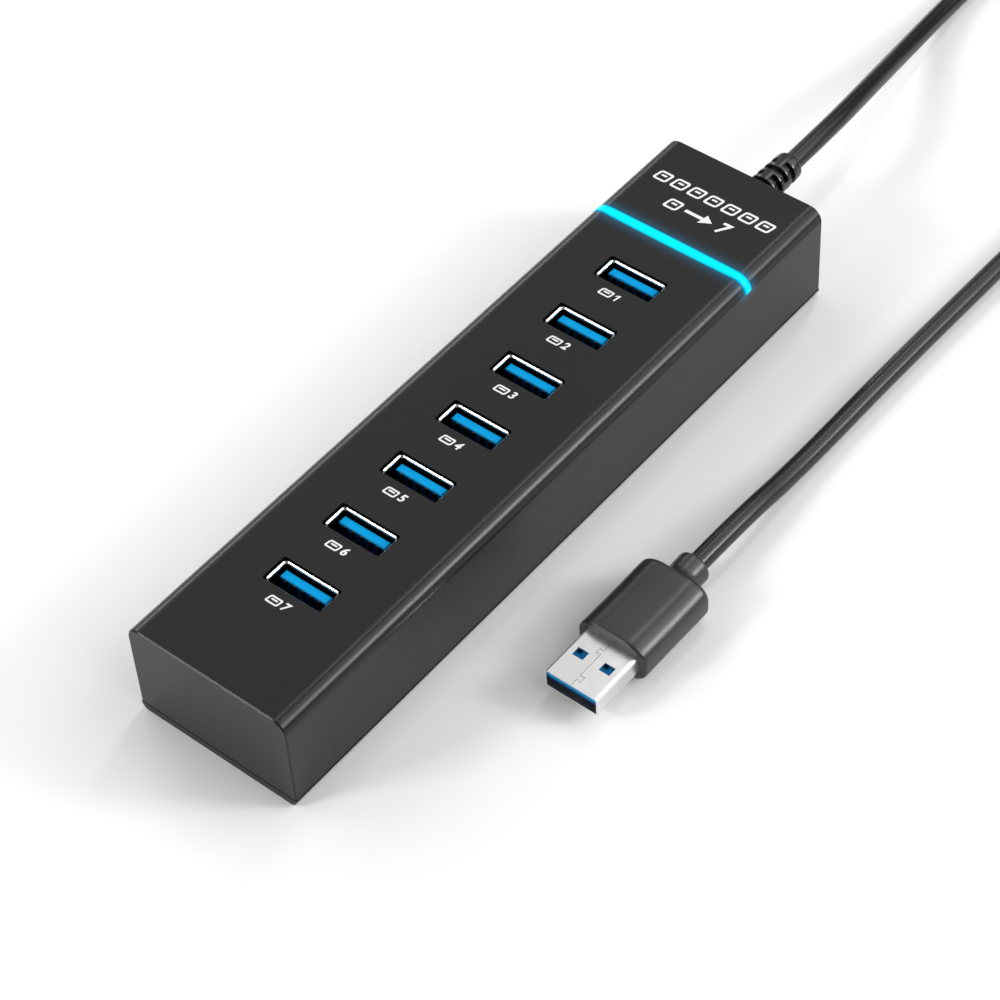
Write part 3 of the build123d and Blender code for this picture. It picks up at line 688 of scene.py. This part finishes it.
# Socket shell: a rounded tube whose wall slopes outwards at the mouth, so its rim is a bevel as
# wide as the wall; two bowed spring leaves on each long side and four solder legs
socketShape = {
    "halfX": 6.25, "halfY": 2.56, "wall": 0.35, "corner": 0.5,
    "foot": 8.0, "mouth": shellHigh[2], "mouthBand": 2.0, "leadIn": 0.36, "rimRound": 0.05,
    "leafHalf": 1.0, "leafHalfDepth": 0.1, "leafX": 3.0, "leafInset": 0.08,
    "leafLow": 14.3, "leafHigh": 19.8, "leafBow": 0.28, "softCorner": 0.08,
    "legHalf": 0.6, "legY": 1.3, "legFoot": shellLow[2], "legTip": 0.5, "legTipShare": 0.6,
    "legOverlap": 0.3,
}


def ringAt(loop, z, y):
    return np.column_stack([loop[:, 0], y + loop[:, 1], np.full(len(loop), z)])


def makeSocketShell(number, y, v):
    def loopAt(grown):
        return roundedLoop(v["halfX"] + grown, v["halfY"] + grown, v["corner"] + grown, 6)

    wall, edge = v["wall"], v["rimRound"]
    band = v["mouth"] - v["mouthBand"]
    profile = ((wall, v["foot"]), (wall, band), (wall, v["mouth"] - edge),
               (wall - edge * 0.3, v["mouth"]), (wall - edge, v["mouth"] - 0.3 * edge),
               (edge, v["mouth"] - v["leadIn"] + edge), (0.0, v["mouth"] - v["leadIn"] - edge),
               (0.0, band), (0.0, v["foot"]))
    rings = np.stack([ringAt(loopAt(grown), z, y) for grown, z in profile])
    points = [rings.reshape(-1, 3)]
    quads = [ringFaces(len(rings), rings.shape[1], looped=True)]
    fans, count = [], rings.shape[0] * rings.shape[1]
    # Leaves bow inwards by a half sine of their length
    heights = np.linspace(v["leafLow"], v["leafHigh"], 13)
    bow = v["leafBow"] * np.sin(math.pi * (heights - heights[0]) / (heights[-1] - heights[0]))
    leaf = roundedLoop(v["leafHalf"], v["leafHalfDepth"], v["softCorner"], 2)
    pieces = []
    for x in (-v["leafX"], v["leafX"]):
        for side in (-1, 1):
            wallY = side * (v["halfY"] + v["leafInset"])
            pieces.append([np.column_stack([x + leaf[:, 0], y + wallY - side * b + leaf[:, 1],
                                            np.full(len(leaf), z)]) for z, b in zip(heights, bow)])
    leg = roundedLoop(wall / 2, v["legHalf"], v["softCorner"], 2)
    levels = ((v["legFoot"], v["legTipShare"]), (v["legFoot"] + v["legTip"], 1.0),
              (v["foot"] + v["legOverlap"], 1.0))
    for x in (-1, 1):
        for side in (-1, 1):
            place = np.array([x * (v["halfX"] + wall / 2), side * v["legY"]])
            pieces.append([ringAt(leg * size + place, z, y) for z, size in levels])
    for piece in pieces:
        more, moreQuads, moreFans = closedTube(piece)
        points.append(more)
        quads.append(moreQuads + count)
        fans.append(moreFans + count)
        count += len(more)
    made = putMesh("socketShell%d" % number, np.vstack(points), np.vstack(quads), np.vstack(fans),
                   "socketSteel", "connector_shell", 30)
    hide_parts("port_%d_shell" % number)


for number, y in enumerate(portYs, start=1):
    makeSocketShell(number, y, socketShape)
print("socket shells: made")

# Printed marks: thin white ink lying on the top face. A port sign is a rounded outline with a bar
# in it; each port has one and its number, leaning like the number does.
marksShape = {
    "topZ": casingHigh[2], "ink": 0.02, "sink": 0.01, "lean": 0.22, "bold": 0.028,
    "portX": -0.35, "portDrop": 5.9, "signLeft": 1.15, "digitRight": 1.55,
    "signWidth": 2.9, "signHeight": 1.85, "line": 0.36, "digitHeight": 2.6, "oneShare": 0.7,
    "titleY": 70.1, "titleSign": 3.3, "titleStep": 4.2, "titleHeight": 2.9, "titleLine": 0.5,
    "secondY": 64.6, "secondSignX": -6.0, "secondDigitX": 6.1, "secondDigit": 4.5,
    "arrow": {"x": 0.2, "length": 6.6, "thickness": 0.8, "head": 2.3},
}


class InkSheet:
    # Gathers flat shapes given as loops of points in mm, and makes one thin closed mesh of them
    def __init__(self, values):
        self.v = values
        self.low, self.high = values["topZ"] - values["sink"], values["topZ"] + values["ink"]
        self.points, self.quads, self.fans, self.count = [], [], [], 0

    def place(self, flat, centre):
        x = centre[0] + flat[:, 0] + self.v["lean"] * flat[:, 1]
        return np.column_stack([x, centre[1] + flat[:, 1]])

    def layer(self, flat, centre, z):
        return np.column_stack([self.place(flat, centre), np.full(len(flat), z)])

    def add(self, points, quads, fans):
        self.points.append(points)
        self.quads.append(quads + self.count)
        self.fans.append(fans + self.count)
        self.count += len(points)

    # Ring of ink between an outer and an inner loop
    def outline(self, outer, inner, centre):
        rings = [self.layer(flat, centre, z) for flat, z in
                 ((outer, self.low), (outer, self.high), (inner, self.high), (inner, self.low))]
        self.add(np.vstack(rings), ringFaces(4, len(outer), looped=True), np.zeros((0, 3), int))

    def solid(self, loop, centre):
        self.add(*closedTube([self.layer(loop, centre, z) for z in (self.low, self.high)]))

    def portSign(self, centre, width, height, line):
        outer = roundedLoop(width / 2, height / 2, height * 0.22, 5)
        inner = roundedLoop(width / 2 - line, height / 2 - line, height * 0.1, 5)
        self.outline(outer, inner, centre)
        bar = roundedLoop(width / 2 - 2 * line, line / 2, line * 0.2, 2)
        self.solid(bar + [0, height * 0.08], centre)

    # Arrow of a shaft and a head, each a convex loop
    def arrow(self, centre, length, thickness, head):
        shaft = roundedLoop((length - head) / 2, thickness / 2, thickness * 0.3, 3)
        self.solid(shaft - [head / 2, 0], centre)
        root, wing = length / 2 - head, head * 0.62
        self.solid(np.array([[root, -wing], [length / 2, 0], [root, wing]]), centre)

    # A number from the built-in font, laid flat at its place
    def digit(self, text, centre, size):
        curve = bpy.data.curves.new("digit", "FONT")
        curve.body, curve.size = text, size
        curve.align_x, curve.align_y = "CENTER", "CENTER"
        curve.offset, curve.extrude, curve.resolution_u = self.v["bold"] * size, 0.5, 6
        helper = bpy.data.objects.new("digit", curve)
        bpy.context.scene.collection.objects.link(helper)
        data = bpy.data.meshes.new_from_object(
            helper.evaluated_get(bpy.context.evaluated_depsgraph_get()))
        bpy.data.objects.remove(helper)
        work = bmesh.new()
        work.from_mesh(data)
        bmesh.ops.remove_doubles(work, verts=work.verts, dist=1e-5)
        bmesh.ops.triangulate(work, faces=work.faces)
        work.verts.ensure_lookup_table()
        flat = np.array([tuple(vertex.co) for vertex in work.verts])
        faces = np.array([[vertex.index for vertex in face.verts] for face in work.faces])
        work.free()
        bpy.data.meshes.remove(data)
        placed = self.place(flat[:, :2], centre)
        z = np.where(flat[:, 2] > 0, self.high, self.low)
        self.add(np.column_stack([placed, z]), np.zeros((0, 4), int), faces)

    # Figure one: a shaft with a flag that falls to the left of its top
    def one(self, centre, height, line):
        side, top, reach = line / 2, height / 2, 1.9 * line
        self.solid(np.array([[-side, -top], [side, -top], [side, top], [-side, top]]), centre)
        self.solid(np.array([[-side, top], [-side, top - line], [-reach, top - 2.1 * line],
                             [-reach, top - 1.1 * line]]), centre)

    def finish(self, name):
        putMesh(name, np.vstack(self.points), np.vstack(self.quads), np.vstack(self.fans),
                "ink", "casing", 30)


def makePortMarks(v):
    sheet = InkSheet(v)
    for number, y in enumerate(portYs, start=1):
        middle = y - v["portDrop"]
        sheet.portSign((v["portX"] - v["signLeft"], middle), v["signWidth"], v["signHeight"],
                       v["line"])
        beside = (v["portX"] + v["digitRight"], middle)
        if number == 1:
            sheet.one(beside, v["oneShare"] * v["digitHeight"], v["line"])
        else:
            sheet.digit(str(number), beside, v["digitHeight"])
    sheet.finish("portMarks")


def makeTitleMarks(v):
    sheet = InkSheet(v)
    sign, arrow = (v["titleSign"], v["titleHeight"], v["titleLine"]), v["arrow"]
    for k in range(len(portYs)):
        sheet.portSign(((k - 3) * v["titleStep"], v["titleY"]), *sign)
    sheet.portSign((v["secondSignX"], v["secondY"]), *sign)
    sheet.arrow((arrow["x"], v["secondY"]), arrow["length"], arrow["thickness"], arrow["head"])
    sheet.digit("7", (v["secondDigitX"], v["secondY"]), v["secondDigit"])
    sheet.finish("titleMarks")


makePortMarks(marksShape)
makeTitleMarks(marksShape)
print("marks: printed")

# Floor, and soft light from panels that the camera doesn't see
studio = {
    "floorSize": 6.0, "floorColour": (0.93, 0.93, 0.93), "worldStrength": 0.12,
    # name, azimuth and elevation it shines from (degrees, 0 from +Y, 90 from +X), distance,
    # width and height (m), brightness (W per square metre of panel)
    "panels": (
        ("topBack", -46, 50, 1.7, 2.4, 1.4, 1.5),
        ("ridge", -15, 60, 1.6, 0.13, 1.0, 24.0),
        ("rightStrip", 57, 26, 1.5, 0.34, 0.40, 60.0),
        ("rightBack", 62, 46, 1.7, 2.4, 1.3, 6.2),
        ("leftBack", -62, 24, 1.6, 0.8, 0.3, 20.0),
        ("left", -106, 38, 1.5, 1.2, 0.8, 6.0),
        ("frontLeft", -149, 30, 1.5, 0.36, 0.30, 70.0),
    ),
    "aim": (0.0, 0.0, 0.02),
}


def buildStudio(values):
    half = values["floorSize"] / 2
    data = bpy.data.meshes.new("floor")
    data.from_pydata([(-half, -half, 0), (half, -half, 0), (half, half, 0), (-half, half, 0)], [],
                     [(0, 1, 2, 3)])
    floor = bpy.data.objects.new("floor", data)
    bpy.context.scene.collection.objects.link(floor)
    material, tree, shader, place = startMaterial("floorPaper")
    light = values["floorColour"]
    dim = tuple(c * 0.985 for c in light)
    feed(tree, shader, {
        "Base Color": blendColour(tree, noise(tree, place, 3.0), dim, light),
        "Roughness": 0.75,
        "Specular IOR Level": 0.2,
    })
    data.materials.append(material)
    for name, azimuth, elevation, distance, width, height, brightness in values["panels"]:
        lamp = bpy.data.lights.new(name, "AREA")
        lamp.shape, lamp.size, lamp.size_y = "RECTANGLE", width, height
        lamp.energy = brightness * width * height
        holder = bpy.data.objects.new(name, lamp)
        bpy.context.scene.collection.objects.link(holder)
        a, e = math.radians(azimuth), math.radians(elevation)
        away = Vector((math.sin(a) * math.cos(e), math.cos(a) * math.cos(e), math.sin(e)))
        holder.location = Vector(values["aim"]) + away * distance
        holder.rotation_mode = "QUATERNION"
        holder.rotation_quaternion = (-away).to_track_quat("-Z", "Y")
        holder.visible_camera = False
    world = bpy.data.worlds.new("studio")
    world.use_nodes = True
    sky = world.node_tree.nodes["Background"]
    sky.inputs[0].default_value = (1, 1, 1, 1)
    sky.inputs[1].default_value = values["worldStrength"]
    bpy.context.scene.world = world
    bpy.context.scene.view_settings.view_transform = "Standard"


buildStudio(studio)
print("studio: lit")
